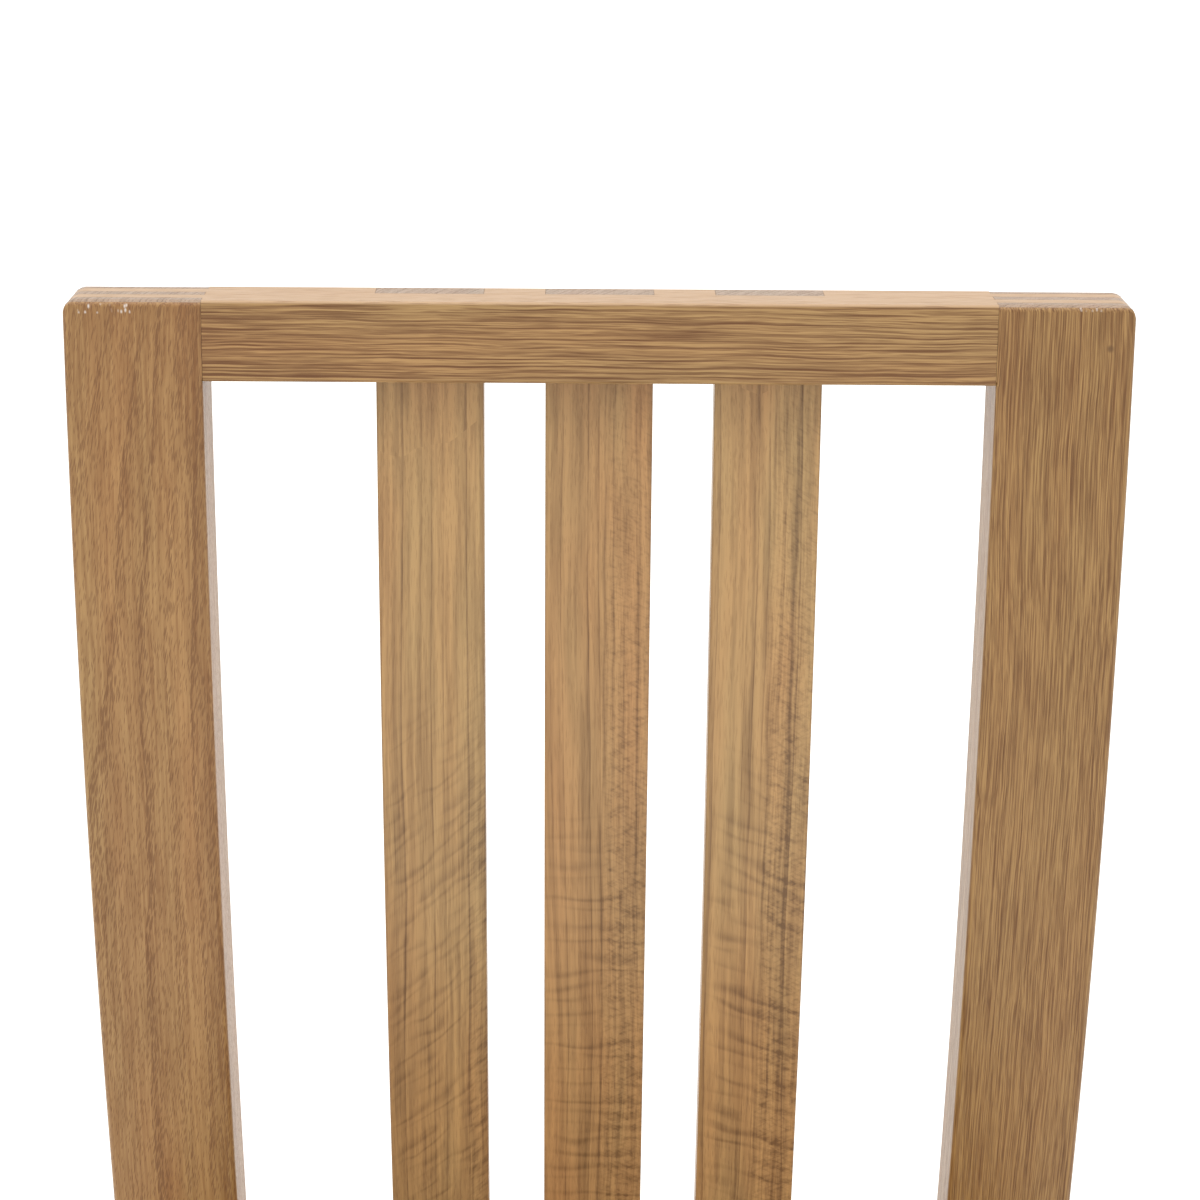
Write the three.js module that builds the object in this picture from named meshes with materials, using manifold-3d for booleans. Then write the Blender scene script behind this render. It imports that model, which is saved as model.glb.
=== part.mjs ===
// Dining chair in solid oak, in millimetres: X runs across, -Y is the front and +Z is up.
// The origin lies on the floor, under the middle of the chair's outer box.
import * as THREE from 'three';
import { mergeVertices } from 'three/addons/utils/BufferGeometryUtils.js';
import Module from 'manifold-3d';

const wasm = await Module();
wasm.setup();

// The whole chair
const overallHeight = 1000;
const backWidth = 450;
const seatTop = 460;
const seatDepth = 425; // front edge of the seat to the front of the rear legs
const clearance = 0.3; // between faces that touch, as a glue line or a slip fit
const past = 5; // how far a cutter runs out of the wood

// Rear legs: one bent piece each from the floor to the top of the back
const bendRadius = 1725;
const bendStart = 500; // the back leans away above this height
const rakeStart = 330; // and the foot sweeps back below this one
const rearLegWidth = 58;
const rearLegDepth = 36;

// Back: a rail on top, another above the seat, and the slats between them
const crestHeight = 34.6;
const combLayers = 5; // three fingers on the leg and two tongues on the rail
const slatWidth = 46;
const slatThickness = 15;
const slatPitch = 72.3;
const slatSetback = 19.5; // front of the back to the front of a slat
const slatShoulder = 1;
const lowerRailDrop = 480; // along the bend, top of the back to the top of the lower rail
const lowerRailHeight = 30;
const lowerTenonDepth = 20; // how far a slat goes down into the lower rail

// Seat frame
const frontLegSize = 45;
const nosing = 8; // the seat stands this far in front of the front legs
const railThickness = 22;
const railHeight = 64;
const railInset = 8; // outer face of a leg to the outer face of a rail
const tenonThickness = 10;
const tenonShoulder = 6; // above and below a tenon
const frontTenon = 18;
const rearTenon = 20;

// Seat: boards glued edge to edge
const boardThickness = 20;
const boardCount = 4;
const seatWidth = 460;
const seatBehind = 24; // how far the seat reaches back between the rear legs
const noseRadius = 8;

// Hardware
const blockHeight = 24;
const screwShank = 4;
const screwHead = 8;
const screwHeadDepth = 2.4;
const glideDiameter = 24;
const glideThickness = 4;
const glidePin = 5;
const glidePinLength = 16;

// Places that follow from the driving dimensions
const topAngle = Math.asin((overallHeight - bendStart) / bendRadius);
const topBackOffset = bendRadius - (bendRadius - rearLegDepth) * Math.cos(topAngle);
const overallDepth = seatDepth + topBackOffset;
const seatFront = -overallDepth / 2;
const rearLegFront = seatFront + seatDepth;
const bendCentreY = rearLegFront + bendRadius;
const legFoot = glideThickness + clearance;
const railTop = seatTop - boardThickness - clearance;
const railBottom = railTop - railHeight;
const rearLegInner = backWidth / 2 - rearLegWidth;
const frontLegInner = backWidth / 2 - frontLegSize;
const frontLegFront = seatFront + nosing;
const frontLegBack = frontLegFront + frontLegSize;
const sideRailOuter = backWidth / 2 - railInset;
const sideRailInner = sideRailOuter - railThickness;
const frontRailFront = frontLegFront + railInset;
const frontRailBack = frontRailFront + railThickness;
const rearRailFront = rearLegFront + (rearLegDepth - railThickness) / 2;

const oak = { color: 0xa97f56, roughness: 0.42, metalness: 0 };
const paleOak = { color: 0xb58b60, roughness: 0.42, metalness: 0 };
const beech = { color: 0xc9a57a, roughness: 0.6, metalness: 0 };
const zincSteel = { color: 0xb4b6b4, roughness: 0.35, metalness: 1 };
const nylon = { color: 0x4a3a2c, roughness: 0.55, metalness: 0 };

const chair = new THREE.Group();
chair.name = 'dining_chair';
const groups = {};
for (const name of ['back', 'seat_frame', 'seat', 'hardware']) {
  groups[name] = new THREE.Group();
  groups[name].name = name;
  chair.add(groups[name]);
}

// A closed geometry as a solid that can be joined and cut.
function solid(geometry) {
  geometry.deleteAttribute('normal');
  geometry.deleteAttribute('uv');
  const merged = mergeVertices(geometry, 1e-4);
  return new wasm.Manifold(new wasm.Mesh({
    numProp: 3,
    vertProperties: new Float32Array(merged.attributes.position.array),
    triVerts: new Uint32Array(merged.index.array),
  }));
}

// Adds a solid to one of the chair's groups as a named part.
function addPart(group, name, shape, finish) {
  const { vertProperties, triVerts } = shape.getMesh();
  const geometry = new THREE.BufferGeometry();
  geometry.setAttribute('position', new THREE.BufferAttribute(vertProperties, 3));
  geometry.setIndex(new THREE.BufferAttribute(triVerts, 1));
  geometry.computeVertexNormals();
  const mesh = new THREE.Mesh(geometry, new THREE.MeshStandardMaterial(finish));
  mesh.name = name;
  groups[group].add(mesh);
  return mesh;
}

// A block between two opposite corners.
function block([x0, y0, z0], [x1, y1, z1]) {
  const geometry = new THREE.BoxGeometry(x1 - x0, y1 - y0, z1 - z0);
  geometry.translate((x0 + x1) / 2, (y0 + y1) / 2, (z0 + z1) / 2);
  return solid(geometry);
}

// A side view in Y and Z, pulled out across the chair from x0 to x1.
function acrossFrom(outline, x0, x1, curveSegments) {
  const geometry = new THREE.ExtrudeGeometry(outline, {
    depth: x1 - x0,
    bevelEnabled: false,
    curveSegments,
  });
  const sideways = new THREE.Matrix4().makeBasis(
    new THREE.Vector3(0, 1, 0),
    new THREE.Vector3(0, 0, 1),
    new THREE.Vector3(1, 0, 0),
  );
  geometry.applyMatrix4(sideways);
  geometry.translate(x0, 0, 0);
  return solid(geometry);
}

// A bar that follows the bend of the back. Depth runs from the front face of the back, and drop
// runs down along the bend from its top end.
function bentBar(x0, x1, depths, drops) {
  const [front, back] = depths.map((depth) => bendRadius - depth);
  const [top, bottom] = drops.map((drop) => Math.PI - topAngle + drop / bendRadius);
  const outline = new THREE.Shape();
  outline.absarc(bendCentreY, bendStart, front, bottom, top, true);
  outline.absarc(bendCentreY, bendStart, back, top, bottom, false);
  return acrossFrom(outline, x0, x1, Math.max(2, Math.ceil((drops[1] - drops[0]) / 30)));
}

// A round peg along +Z with its lower end at the given place.
function peg(radius, [x, y, z], length) {
  const geometry = new THREE.CylinderGeometry(radius, radius, length, 20);
  geometry.rotateX(Math.PI / 2);
  geometry.translate(x, y, z + length / 2);
  return solid(geometry);
}

// The turn that points something standing on +Z along a direction.
function turnTo(direction) {
  return new THREE.Quaternion().setFromUnitVectors(new THREE.Vector3(0, 0, 1), new THREE.Vector3(...direction));
}

// A cutter that stands on +Z, pointed along a direction and moved to a place.
function aimed(shape, direction, place) {
  const unscaled = new THREE.Vector3(1, 1, 1);
  const matrix = new THREE.Matrix4().compose(new THREE.Vector3(...place), turnTo(direction), unscaled);
  return shape.transform(matrix.elements);
}

// The layers of the comb joint, from the front of the back to its rear, as [start, end] depths.
const layerDepth = rearLegDepth / combLayers;
const tongues = [1, 3].map((layer) => [layer * layerDepth, (layer + 1) * layerDepth]);

const slatDepths = [slatSetback, slatSetback + slatThickness];
const slatTenonDepths = [slatDepths[0] + slatShoulder, slatDepths[1] - slatShoulder];
const slatCentres = [-slatPitch, 0, slatPitch];
const lowerRailDrops = [lowerRailDrop, lowerRailDrop + lowerRailHeight];
const lowerTenonDrops = [lowerRailDrops[0] + tenonShoulder, lowerRailDrops[1] - tenonShoulder];
const lowerTenonDepths = [13, 13 + tenonThickness];

// Grows a span by the clearance at both ends, for the hole that a tenon slips into.
const loose = ([low, high]) => [low - clearance, high + clearance];

// The tenon of a seat rail, from the leg's face at `from` to its end at `to`, along X or Y.
function railTenon(axis, [low, high], from, to, extra) {
  const bottom = railBottom + tenonShoulder - extra;
  const top = railTop - tenonShoulder + extra;
  const [a0, a1] = [Math.min(from, to), Math.max(from, to)];
  const [b0, b1] = [low - extra, high + extra];
  return axis === 'x' ? block([a0, b0, bottom], [a1, b1, top]) : block([b0, a0, bottom], [b1, a1, top]);
}

const sideTenonX = [sideRailInner + tenonShoulder, sideRailOuter - tenonShoulder];
const frontTenonY = [frontRailFront + tenonShoulder, frontRailBack - tenonShoulder];
const rearTenonY = [rearRailFront + tenonShoulder, rearRailFront + railThickness - tenonShoulder];

// Pieces in pairs are made for the chair's right side, and mirrored for its left.
const mirrored = (shape) => shape.mirror([1, 0, 0]);
const sides = { left: -1, right: 1 };
const onSide = (shape, side) => (side < 0 ? mirrored(shape) : shape);

// Side view of a rear leg: swept foot, upright middle and leaning back, cut square on top.
function rearLegOutline() {
  const inner = bendRadius - rearLegDepth;
  const footAngle = (radius) => Math.PI + Math.asin((rakeStart - legFoot) / radius);
  const outline = new THREE.Shape();
  outline.absarc(bendCentreY, rakeStart, bendRadius, footAngle(bendRadius), Math.PI, true);
  outline.absarc(bendCentreY, bendStart, bendRadius, Math.PI, Math.PI - topAngle, true);
  outline.absarc(bendCentreY, bendStart, inner, Math.PI - topAngle, Math.PI, false);
  outline.absarc(bendCentreY, rakeStart, inner, Math.PI, footAngle(inner), false);
  return outline;
}

// Middle of a rear leg's foot, which the sweep carries back from the upright part.
const footSweep = (radius) => bendRadius - Math.sqrt(radius ** 2 - (rakeStart - legFoot) ** 2);
const rearFootY = rearLegFront + (footSweep(bendRadius) + footSweep(bendRadius - rearLegDepth)) / 2;
const rearFootX = backWidth / 2 - rearLegWidth / 2;
const frontFootX = backWidth / 2 - frontLegSize / 2;
const frontFootY = frontLegFront + frontLegSize / 2;

function glideHole(x, y) {
  return peg(glidePin / 2 + clearance, [x, y, legFoot - past], glidePinLength + past + clearance);
}

function rearLeg() {
  let leg = acrossFrom(rearLegOutline(), rearLegInner, backWidth / 2, 16);
  const slotDrops = [-past, crestHeight + clearance];
  for (const tongue of tongues) {
    leg = leg.subtract(bentBar(rearLegInner - past, backWidth / 2 + past, loose(tongue), slotDrops));
  }
  const mortiseMouth = rearLegInner - past;
  const mortiseEnd = rearLegInner + rearTenon + clearance;
  const sideMortiseEnd = rearLegFront + rearTenon + clearance;
  return leg
    .subtract(bentBar(mortiseMouth, mortiseEnd, loose(lowerTenonDepths), loose(lowerTenonDrops)))
    .subtract(railTenon('x', rearTenonY, mortiseMouth, mortiseEnd, clearance))
    .subtract(railTenon('y', sideTenonX, rearLegFront - past, sideMortiseEnd, clearance))
    .subtract(glideHole(rearFootX, rearFootY));
}

function frontLeg() {
  const low = [frontLegInner, frontLegFront, legFoot];
  const high = [backWidth / 2, frontLegBack, railTop];
  const mortiseEnd = frontLegInner + frontTenon + clearance;
  const sideMortiseEnd = frontLegBack - frontTenon - clearance;
  return block(low, high)
    .subtract(railTenon('x', frontTenonY, frontLegInner - past, mortiseEnd, clearance))
    .subtract(railTenon('y', sideTenonX, sideMortiseEnd, frontLegBack + past, clearance))
    .subtract(glideHole(frontFootX, frontFootY));
}

function crestRail() {
  const inner = rearLegInner - clearance;
  let rail = bentBar(-inner, inner, [0, rearLegDepth], [0, crestHeight]);
  for (const tongue of tongues) {
    rail = rail.add(bentBar(-backWidth / 2, backWidth / 2, tongue, [0, crestHeight]));
  }
  for (const centre of slatCentres) {
    const [low, high] = loose([centre - slatWidth / 2, centre + slatWidth / 2]);
    rail = rail.subtract(bentBar(low, high, loose(slatTenonDepths), [-past, crestHeight + past]));
  }
  return rail;
}

function lowerBackRail() {
  const inner = rearLegInner - clearance;
  const tenon = rearLegInner + rearTenon;
  let rail = bentBar(-inner, inner, [0, rearLegDepth], lowerRailDrops)
    .add(bentBar(-tenon, tenon, lowerTenonDepths, lowerTenonDrops));
  for (const centre of slatCentres) {
    const [low, high] = loose([centre - slatWidth / 2, centre + slatWidth / 2]);
    const drops = [lowerRailDrop - past, lowerRailDrop + lowerTenonDepth + clearance];
    rail = rail.subtract(bentBar(low, high, loose(slatTenonDepths), drops));
  }
  return rail;
}

// A slat has a through tenon on top, seen as end grain in the crest rail, and a blind one below.
function slat(centre) {
  const [low, high] = [centre - slatWidth / 2, centre + slatWidth / 2];
  return bentBar(low, high, slatDepths, [crestHeight + clearance, lowerRailDrop - clearance])
    .add(bentBar(low, high, slatTenonDepths, [0, lowerRailDrop + lowerTenonDepth]));
}

function endRail(front, tenonY, legInner, tenonLength) {
  const body = legInner - clearance;
  return block([-body, front, railBottom], [body, front + railThickness, railTop])
    .add(railTenon('x', tenonY, -legInner - tenonLength, legInner + tenonLength, 0));
}

function sideRail() {
  const low = [sideRailInner, frontLegBack + clearance, railBottom];
  const high = [sideRailOuter, rearLegFront - clearance, railTop];
  const tenonEnds = [frontLegBack - frontTenon, rearLegFront + rearTenon];
  return block(low, high).add(railTenon('y', sideTenonX, ...tenonEnds, 0));
}

// The seat's side view has a rounded front edge. Each board is the stretch that lies between two
// glue lines, and the last one is notched round the rear legs.
function seatBoard(index) {
  const bottom = seatTop - boardThickness;
  const back = rearLegFront + seatBehind;
  const outline = new THREE.Shape();
  outline.moveTo(back, bottom);
  outline.lineTo(back, seatTop);
  outline.lineTo(seatFront + noseRadius, seatTop);
  outline.absarc(seatFront + noseRadius, seatTop - noseRadius, noseRadius, Math.PI / 2, Math.PI, false);
  outline.lineTo(seatFront, bottom);
  const width = (back - seatFront + clearance) / boardCount;
  const from = seatFront + index * width;
  const stretch = block(
    [-seatWidth, from, bottom - past],
    [seatWidth, from + width - clearance, seatTop + past],
  );
  let board = acrossFrom(outline, -seatWidth / 2, seatWidth / 2, 6).intersect(stretch);
  if (index === boardCount - 1) {
    const notchInner = rearLegInner - clearance;
    const notchFront = rearLegFront - clearance;
    const notch = block([notchInner, notchFront, bottom - past], [seatWidth, back + past, seatTop + past]);
    board = board.subtract(notch).subtract(mirrored(notch));
  }
  return board;
}

// A countersunk wood screw that points along +Z, with its head's face at the origin and a
// cross-shaped recess in it.
function screw(length) {
  const profile = [
    [0, 0],
    [screwHead / 2, 0],
    [screwHead / 2, 0.4],
    [screwShank / 2, screwHeadDepth],
    [screwShank / 2, length - 5],
    [0, length],
  ].map(([radius, along]) => new THREE.Vector2(radius, along));
  const turned = new THREE.LatheGeometry(profile, 16);
  turned.rotateX(Math.PI / 2);
  const recess = (width, depth) => block([-width / 2, -depth / 2, -1], [width / 2, depth / 2, 1.5]);
  return solid(turned).subtract(recess(4.2, 0.9)).subtract(recess(0.9, 4.2));
}

// The hole for a screw: a wide bore for the head, then a slip fit round the shank.
function screwHole(length, bore) {
  const shank = peg(screwShank / 2 + clearance, [0, 0, 0], length + 2 * clearance);
  const head = peg(screwHead / 2 + 0.6, [0, 0, -bore], bore + screwHeadDepth + clearance);
  return shank.add(head);
}

const screwLength = 34;
const seatScrewLength = 36;
const headRoom = 40; // how far a head's bore runs out of the block

// Where a corner block stands. `alongSide` and `alongEnd` are how far its leg reaches past the
// inner faces of the side rail and the end rail, and `inward` points from the end rail to the
// middle of the chair.
const corners = {
  front: {
    railY: frontRailBack,
    inward: 1,
    alongSide: sideRailInner - frontLegInner,
    alongEnd: frontLegBack - frontRailBack,
    reach: 70,
    seatScrew: [29, 24],
  },
  rear: {
    railY: rearRailFront,
    inward: -1,
    alongSide: sideRailInner - rearLegInner,
    alongEnd: rearRailFront - rearLegFront,
    reach: 82,
    seatScrew: [40, 26],
  },
};

// The three screws of a corner block, on the right side: one into each rail and one up into the seat.
function cornerScrews({ railY, inward, reach, seatScrew }) {
  const middle = railTop - blockHeight / 2;
  const edge = reach - 30;
  const headAt = 22; // from the rail's inner face to the face of the head
  return {
    side: {
      place: [sideRailInner - headAt, railY + inward * edge, middle],
      direction: [1, 0, 0],
      length: screwLength,
    },
    end: {
      place: [sideRailInner - edge, railY + inward * headAt, middle],
      direction: [0, -inward, 0],
      length: screwLength,
    },
    seat: {
      place: [sideRailInner - seatScrew[0], railY + inward * seatScrew[1], railTop - blockHeight + 1],
      direction: [0, 0, 1],
      length: seatScrewLength,
    },
  };
}

function drill(shape, screws) {
  let drilled = shape;
  for (const { place, direction, length } of screws) {
    drilled = drilled.subtract(aimed(screwHole(length, headRoom), direction, place));
  }
  return drilled;
}

function cornerBlock(corner) {
  const { railY, inward, alongSide, alongEnd, reach } = corner;
  const at = (u, v) => [sideRailInner - u, railY + inward * v];
  const points = [
    at(clearance, alongEnd + clearance),
    at(clearance, reach),
    at(reach, clearance),
    at(alongSide + clearance, clearance),
    at(alongSide + clearance, alongEnd + clearance),
  ];
  const outline = new THREE.Shape(points.map(([x, y]) => new THREE.Vector2(x, y)));
  const geometry = new THREE.ExtrudeGeometry(outline, { depth: blockHeight, bevelEnabled: false });
  geometry.translate(0, 0, railTop - blockHeight);
  return drill(solid(geometry), Object.values(cornerScrews(corner)));
}

// A screw hole that stops in the wood has no bore for the head, so the head's side is left out.
function pilot({ place, direction, length }) {
  return aimed(peg(screwShank / 2 + clearance, [0, 0, 0], length + clearance), direction, place);
}

function glide() {
  const shape = [
    [0, 0],
    [glideDiameter / 2 - 1.5, 0],
    [glideDiameter / 2, 1.5],
    [glideDiameter / 2, glideThickness],
    [glidePin / 2, glideThickness],
    [glidePin / 2, legFoot + glidePinLength - 2],
    [0, legFoot + glidePinLength],
  ].map(([radius, height]) => new THREE.Vector2(radius, height));
  const geometry = new THREE.LatheGeometry(shape, 24);
  geometry.rotateX(Math.PI / 2);
  return solid(geometry);
}

// The pilot holes that the corner screws make in the rails and in the seat, on both sides.
const pilots = { side: [], front: [], rear: [], seat: [] };
for (const [end, corner] of Object.entries(corners)) {
  const screws = cornerScrews(corner);
  pilots.side.push(pilot(screws.side));
  pilots[end].push(pilot(screws.end), mirrored(pilot(screws.end)));
  pilots.seat.push(pilot(screws.seat), mirrored(pilot(screws.seat)));
}
const withPilots = (shape, holes) => holes.reduce((cut, hole) => cut.subtract(hole), shape);

addPart('back', 'crest_rail', crestRail(), oak);
['left', 'middle', 'right'].forEach((place, index) => {
  addPart('back', `back_slat_${place}`, slat(slatCentres[index]), paleOak);
});
addPart('back', 'lower_back_rail', lowerBackRail(), oak);

const frontRail = endRail(frontRailFront, frontTenonY, frontLegInner, frontTenon);
const rearRail = endRail(rearRailFront, rearTenonY, rearLegInner, rearTenon);
addPart('seat_frame', 'seat_rail_front', withPilots(frontRail, pilots.front), oak);
addPart('seat_frame', 'seat_rail_rear', withPilots(rearRail, pilots.rear), oak);

for (let index = 0; index < boardCount; index += 1) {
  addPart('seat', `seat_board_${index + 1}`, withPilots(seatBoard(index), pilots.seat), oak);
}

const feet = { front: [frontFootX, frontFootY], rear: [rearFootX, rearFootY] };
for (const [sideName, side] of Object.entries(sides)) {
  addPart('back', `rear_leg_${sideName}`, onSide(rearLeg(), side), oak);
  addPart('seat_frame', `front_leg_${sideName}`, onSide(frontLeg(), side), oak);
  const rail = withPilots(sideRail(), pilots.side);
  addPart('seat_frame', `seat_rail_${sideName}`, onSide(rail, side), oak);
  for (const [end, corner] of Object.entries(corners)) {
    addPart('seat_frame', `corner_block_${end}_${sideName}`, onSide(cornerBlock(corner), side), beech);
    const [x, y] = feet[end];
    addPart('hardware', `glide_${end}_${sideName}`, glide(), nylon).position.set(side * x, y, 0);
    for (const [target, { place, direction, length }] of Object.entries(cornerScrews(corner))) {
      const into = target === 'end' ? `${end}_rail` : target;
      const fastener = addPart('hardware', `screw_${end}_${sideName}_to_${into}`, screw(length), zincSteel);
      fastener.position.set(side * place[0], place[1], place[2]);
      fastener.quaternion.copy(turnTo([side * direction[0], direction[1], direction[2]]));
    }
  }
}

export default chair;
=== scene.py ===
from math import asin, cos, pi, radians, sin

import bpy
from mathutils import Euler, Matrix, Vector


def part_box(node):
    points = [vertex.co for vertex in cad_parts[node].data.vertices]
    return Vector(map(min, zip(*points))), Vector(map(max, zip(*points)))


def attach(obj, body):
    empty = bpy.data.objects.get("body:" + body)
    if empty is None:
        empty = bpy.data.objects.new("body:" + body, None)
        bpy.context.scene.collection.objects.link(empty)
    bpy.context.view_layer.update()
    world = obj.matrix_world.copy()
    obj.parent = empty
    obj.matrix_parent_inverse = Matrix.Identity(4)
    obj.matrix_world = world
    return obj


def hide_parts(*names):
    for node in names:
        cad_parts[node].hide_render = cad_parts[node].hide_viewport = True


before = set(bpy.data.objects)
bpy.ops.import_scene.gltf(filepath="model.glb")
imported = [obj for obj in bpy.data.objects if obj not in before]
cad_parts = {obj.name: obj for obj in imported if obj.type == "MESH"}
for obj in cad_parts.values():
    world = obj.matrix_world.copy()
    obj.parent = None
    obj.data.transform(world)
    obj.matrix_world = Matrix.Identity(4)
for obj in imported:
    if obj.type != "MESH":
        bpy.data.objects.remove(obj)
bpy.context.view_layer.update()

# Rear legs. Each is one bent piece of oak, swept at the foot, upright behind the seat and leaning
# back above it, and its grain follows the bends. Its top is slotted for the crest rail, and it is
# mortised for the lower back rail and two seat rails.
MM = 0.001
glue_line = 0.12 * MM
leg_low, leg_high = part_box("rear_leg_right")
leg_outer = leg_high[0]
leg_inner = leg_low[0]
leg_front = leg_low[1]
leg_foot = leg_low[2]
leg_depth = 36 * MM
back_top = leg_high[2]
bend_radius = 1725 * MM
bend_start = 500 * MM
rake_start = 330 * MM
top_angle = asin((back_top - bend_start) / bend_radius)
bend_length = bend_radius * top_angle
upright_length = bend_start - rake_start
rake_length = bend_radius * asin((rake_start - leg_foot) / bend_radius)
crest_height = 34.6 * MM
comb_step = leg_depth / 5
finger_gaps = [(comb_step, 2 * comb_step), (3 * comb_step, 4 * comb_step)]
lower_rail_drop = 480 * MM
lower_rail_height = 30 * MM
tenon_shoulder = 6 * MM
rear_tenon = 20 * MM
rail_low, rail_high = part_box("seat_rail_rear")
side_low, side_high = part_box("seat_rail_right")
rear_tenon_depths = (
    rail_low[1] + tenon_shoulder - leg_front,
    rail_high[1] - tenon_shoulder - leg_front,
)
side_tenon_x = (side_low[0] + tenon_shoulder, side_high[0] - tenon_shoulder)
lower_tenon_drops = (
    lower_rail_drop + tenon_shoulder,
    lower_rail_drop + lower_rail_height - tenon_shoulder,
)


def stations(low, high, step=18 * MM):
    """Evenly spaced values from low to high, both included."""
    count = max(1, round((high - low) / step))
    return [low + (high - low) * i / count for i in range(count + 1)]


def on_bend(x, depth, drop):
    """A place in the back: across, in from the front face, and down along the bend from its top."""
    angle = top_angle - drop / bend_radius
    radius = bend_radius - depth
    y = leg_front + bend_radius - radius * cos(angle)
    return Vector((x, y, bend_start + radius * sin(angle)))


def on_leg(x, depth, drop):
    """The same for a rear leg, which goes on upright below the bend and then sweeps back."""
    if drop <= bend_length:
        return on_bend(x, depth, drop)
    below = drop - bend_length
    if below <= upright_length:
        return Vector((x, leg_front + depth, bend_start - below))
    share = (below - upright_length) / rake_length
    radius = bend_radius - depth
    angle = share * asin((rake_start - leg_foot) / radius)
    y = leg_front + bend_radius - radius * cos(angle)
    return Vector((x, y, rake_start - radius * sin(angle)))


def carve(name, grid, place, gone, rounding, grain_axis):
    """A closed mesh of quads over a grid of cells, less the cells that `gone` picks by their middle.

    `place` puts a grid point in the chair. `rounding` gives the radius of an edge from its
    direction, 0 to 2, and its middle; edges with none stay sharp. Faces across the grain axis take
    the second material, end grain.
    """
    middles = [[(a + b) / 2 for a, b in zip(line, line[1:])] for line in grid]
    kept = set()
    for i, u in enumerate(middles[0]):
        for j, v in enumerate(middles[1]):
            for k, w in enumerate(middles[2]):
                if not gone(u, v, w):
                    kept.add((i, j, k))
    index, keys, faces, ends = {}, [], [], []
    for cell in sorted(kept):
        for axis in range(3):
            for side in (0, 1):
                beside = list(cell)
                beside[axis] += 2 * side - 1
                if tuple(beside) in kept:
                    continue
                ring = []
                for du, dv in ((0, 0), (1, 0), (1, 1), (0, 1)):
                    key = list(cell)
                    key[axis] += side
                    key[(axis + 1) % 3] += du
                    key[(axis + 2) % 3] += dv
                    if tuple(key) not in index:
                        index[tuple(key)] = len(keys)
                        keys.append(tuple(key))
                    ring.append(index[tuple(key)])
                faces.append(ring if side else ring[::-1])
                ends.append(int(axis == grain_axis))
    where = [tuple(grid[a][key[a]] for a in range(3)) for key in keys]
    mesh = bpy.data.meshes.new(name)
    mesh.from_pydata([place(*w) for w in where], [], faces)
    mesh.polygons.foreach_set("material_index", ends)
    piece = bpy.data.objects.new(name, mesh)
    bpy.context.collection.objects.link(piece)
    radii = []
    for edge in mesh.edges:
        a, b = (where[v] for v in edge.vertices)
        way = max(range(3), key=lambda n: abs(a[n] - b[n]))
        radii.append(rounding(way, [(m + n) / 2 for m, n in zip(a, b)]))
    widest = max(radii)
    crease = radians(30)
    weights = mesh.attributes.new("bevel_weight_edge", "FLOAT", "EDGE")
    normals = {}
    for face in mesh.polygons:
        for key in face.edge_keys:
            normals.setdefault(tuple(sorted(key)), []).append(face.normal)
    for edge, radius in zip(mesh.edges, radii):
        weights.data[edge.index].value = radius / widest
        pair = normals[tuple(sorted(edge.vertices))]
        edge.use_edge_sharp = radius == 0 and pair[0].angle(pair[-1]) > crease
    mesh.shade_smooth()
    bevel = piece.modifiers.new("eased_edges", "BEVEL")
    bevel.limit_method = "WEIGHT"
    bevel.offset_type = "OFFSET"
    bevel.width = widest
    bevel.segments = 4
    bevel.harden_normals = True
    bevel.use_clamp_overlap = False
    bevel.loop_slide = True
    return piece


def near(value, *others):
    """Whether a value is one of the others, to a hundredth of a millimetre."""
    return any(abs(value - other) < 0.01 * MM for other in others)


def spread(lines):
    """The same values in order, without those that repeat to a thousandth of a millimetre."""
    kept = []
    for value in sorted(lines):
        if not kept or value - kept[-1] > 0.001 * MM:
            kept.append(value)
    return kept


def linear(colour):
    """An sRGB hex colour as linear RGBA."""
    parts = [int(colour[i:i + 2], 16) / 255 for i in (1, 3, 5)]
    return [p / 12.92 if p <= 0.04045 else ((p + 0.055) / 1.055) ** 2.4 for p in parts] + [1.0]


def add(tree, kind, inputs, **settings):
    """A node with its settings, and each named input set to a value or joined to an output."""
    made = tree.nodes.new("ShaderNode" + kind)
    for key, value in settings.items():
        setattr(made, key, value)
    for key, value in inputs.items():
        if isinstance(value, bpy.types.NodeSocket):
            tree.links.new(value, made.inputs[key])
        else:
            made.inputs[key].default_value = value
    return made


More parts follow.
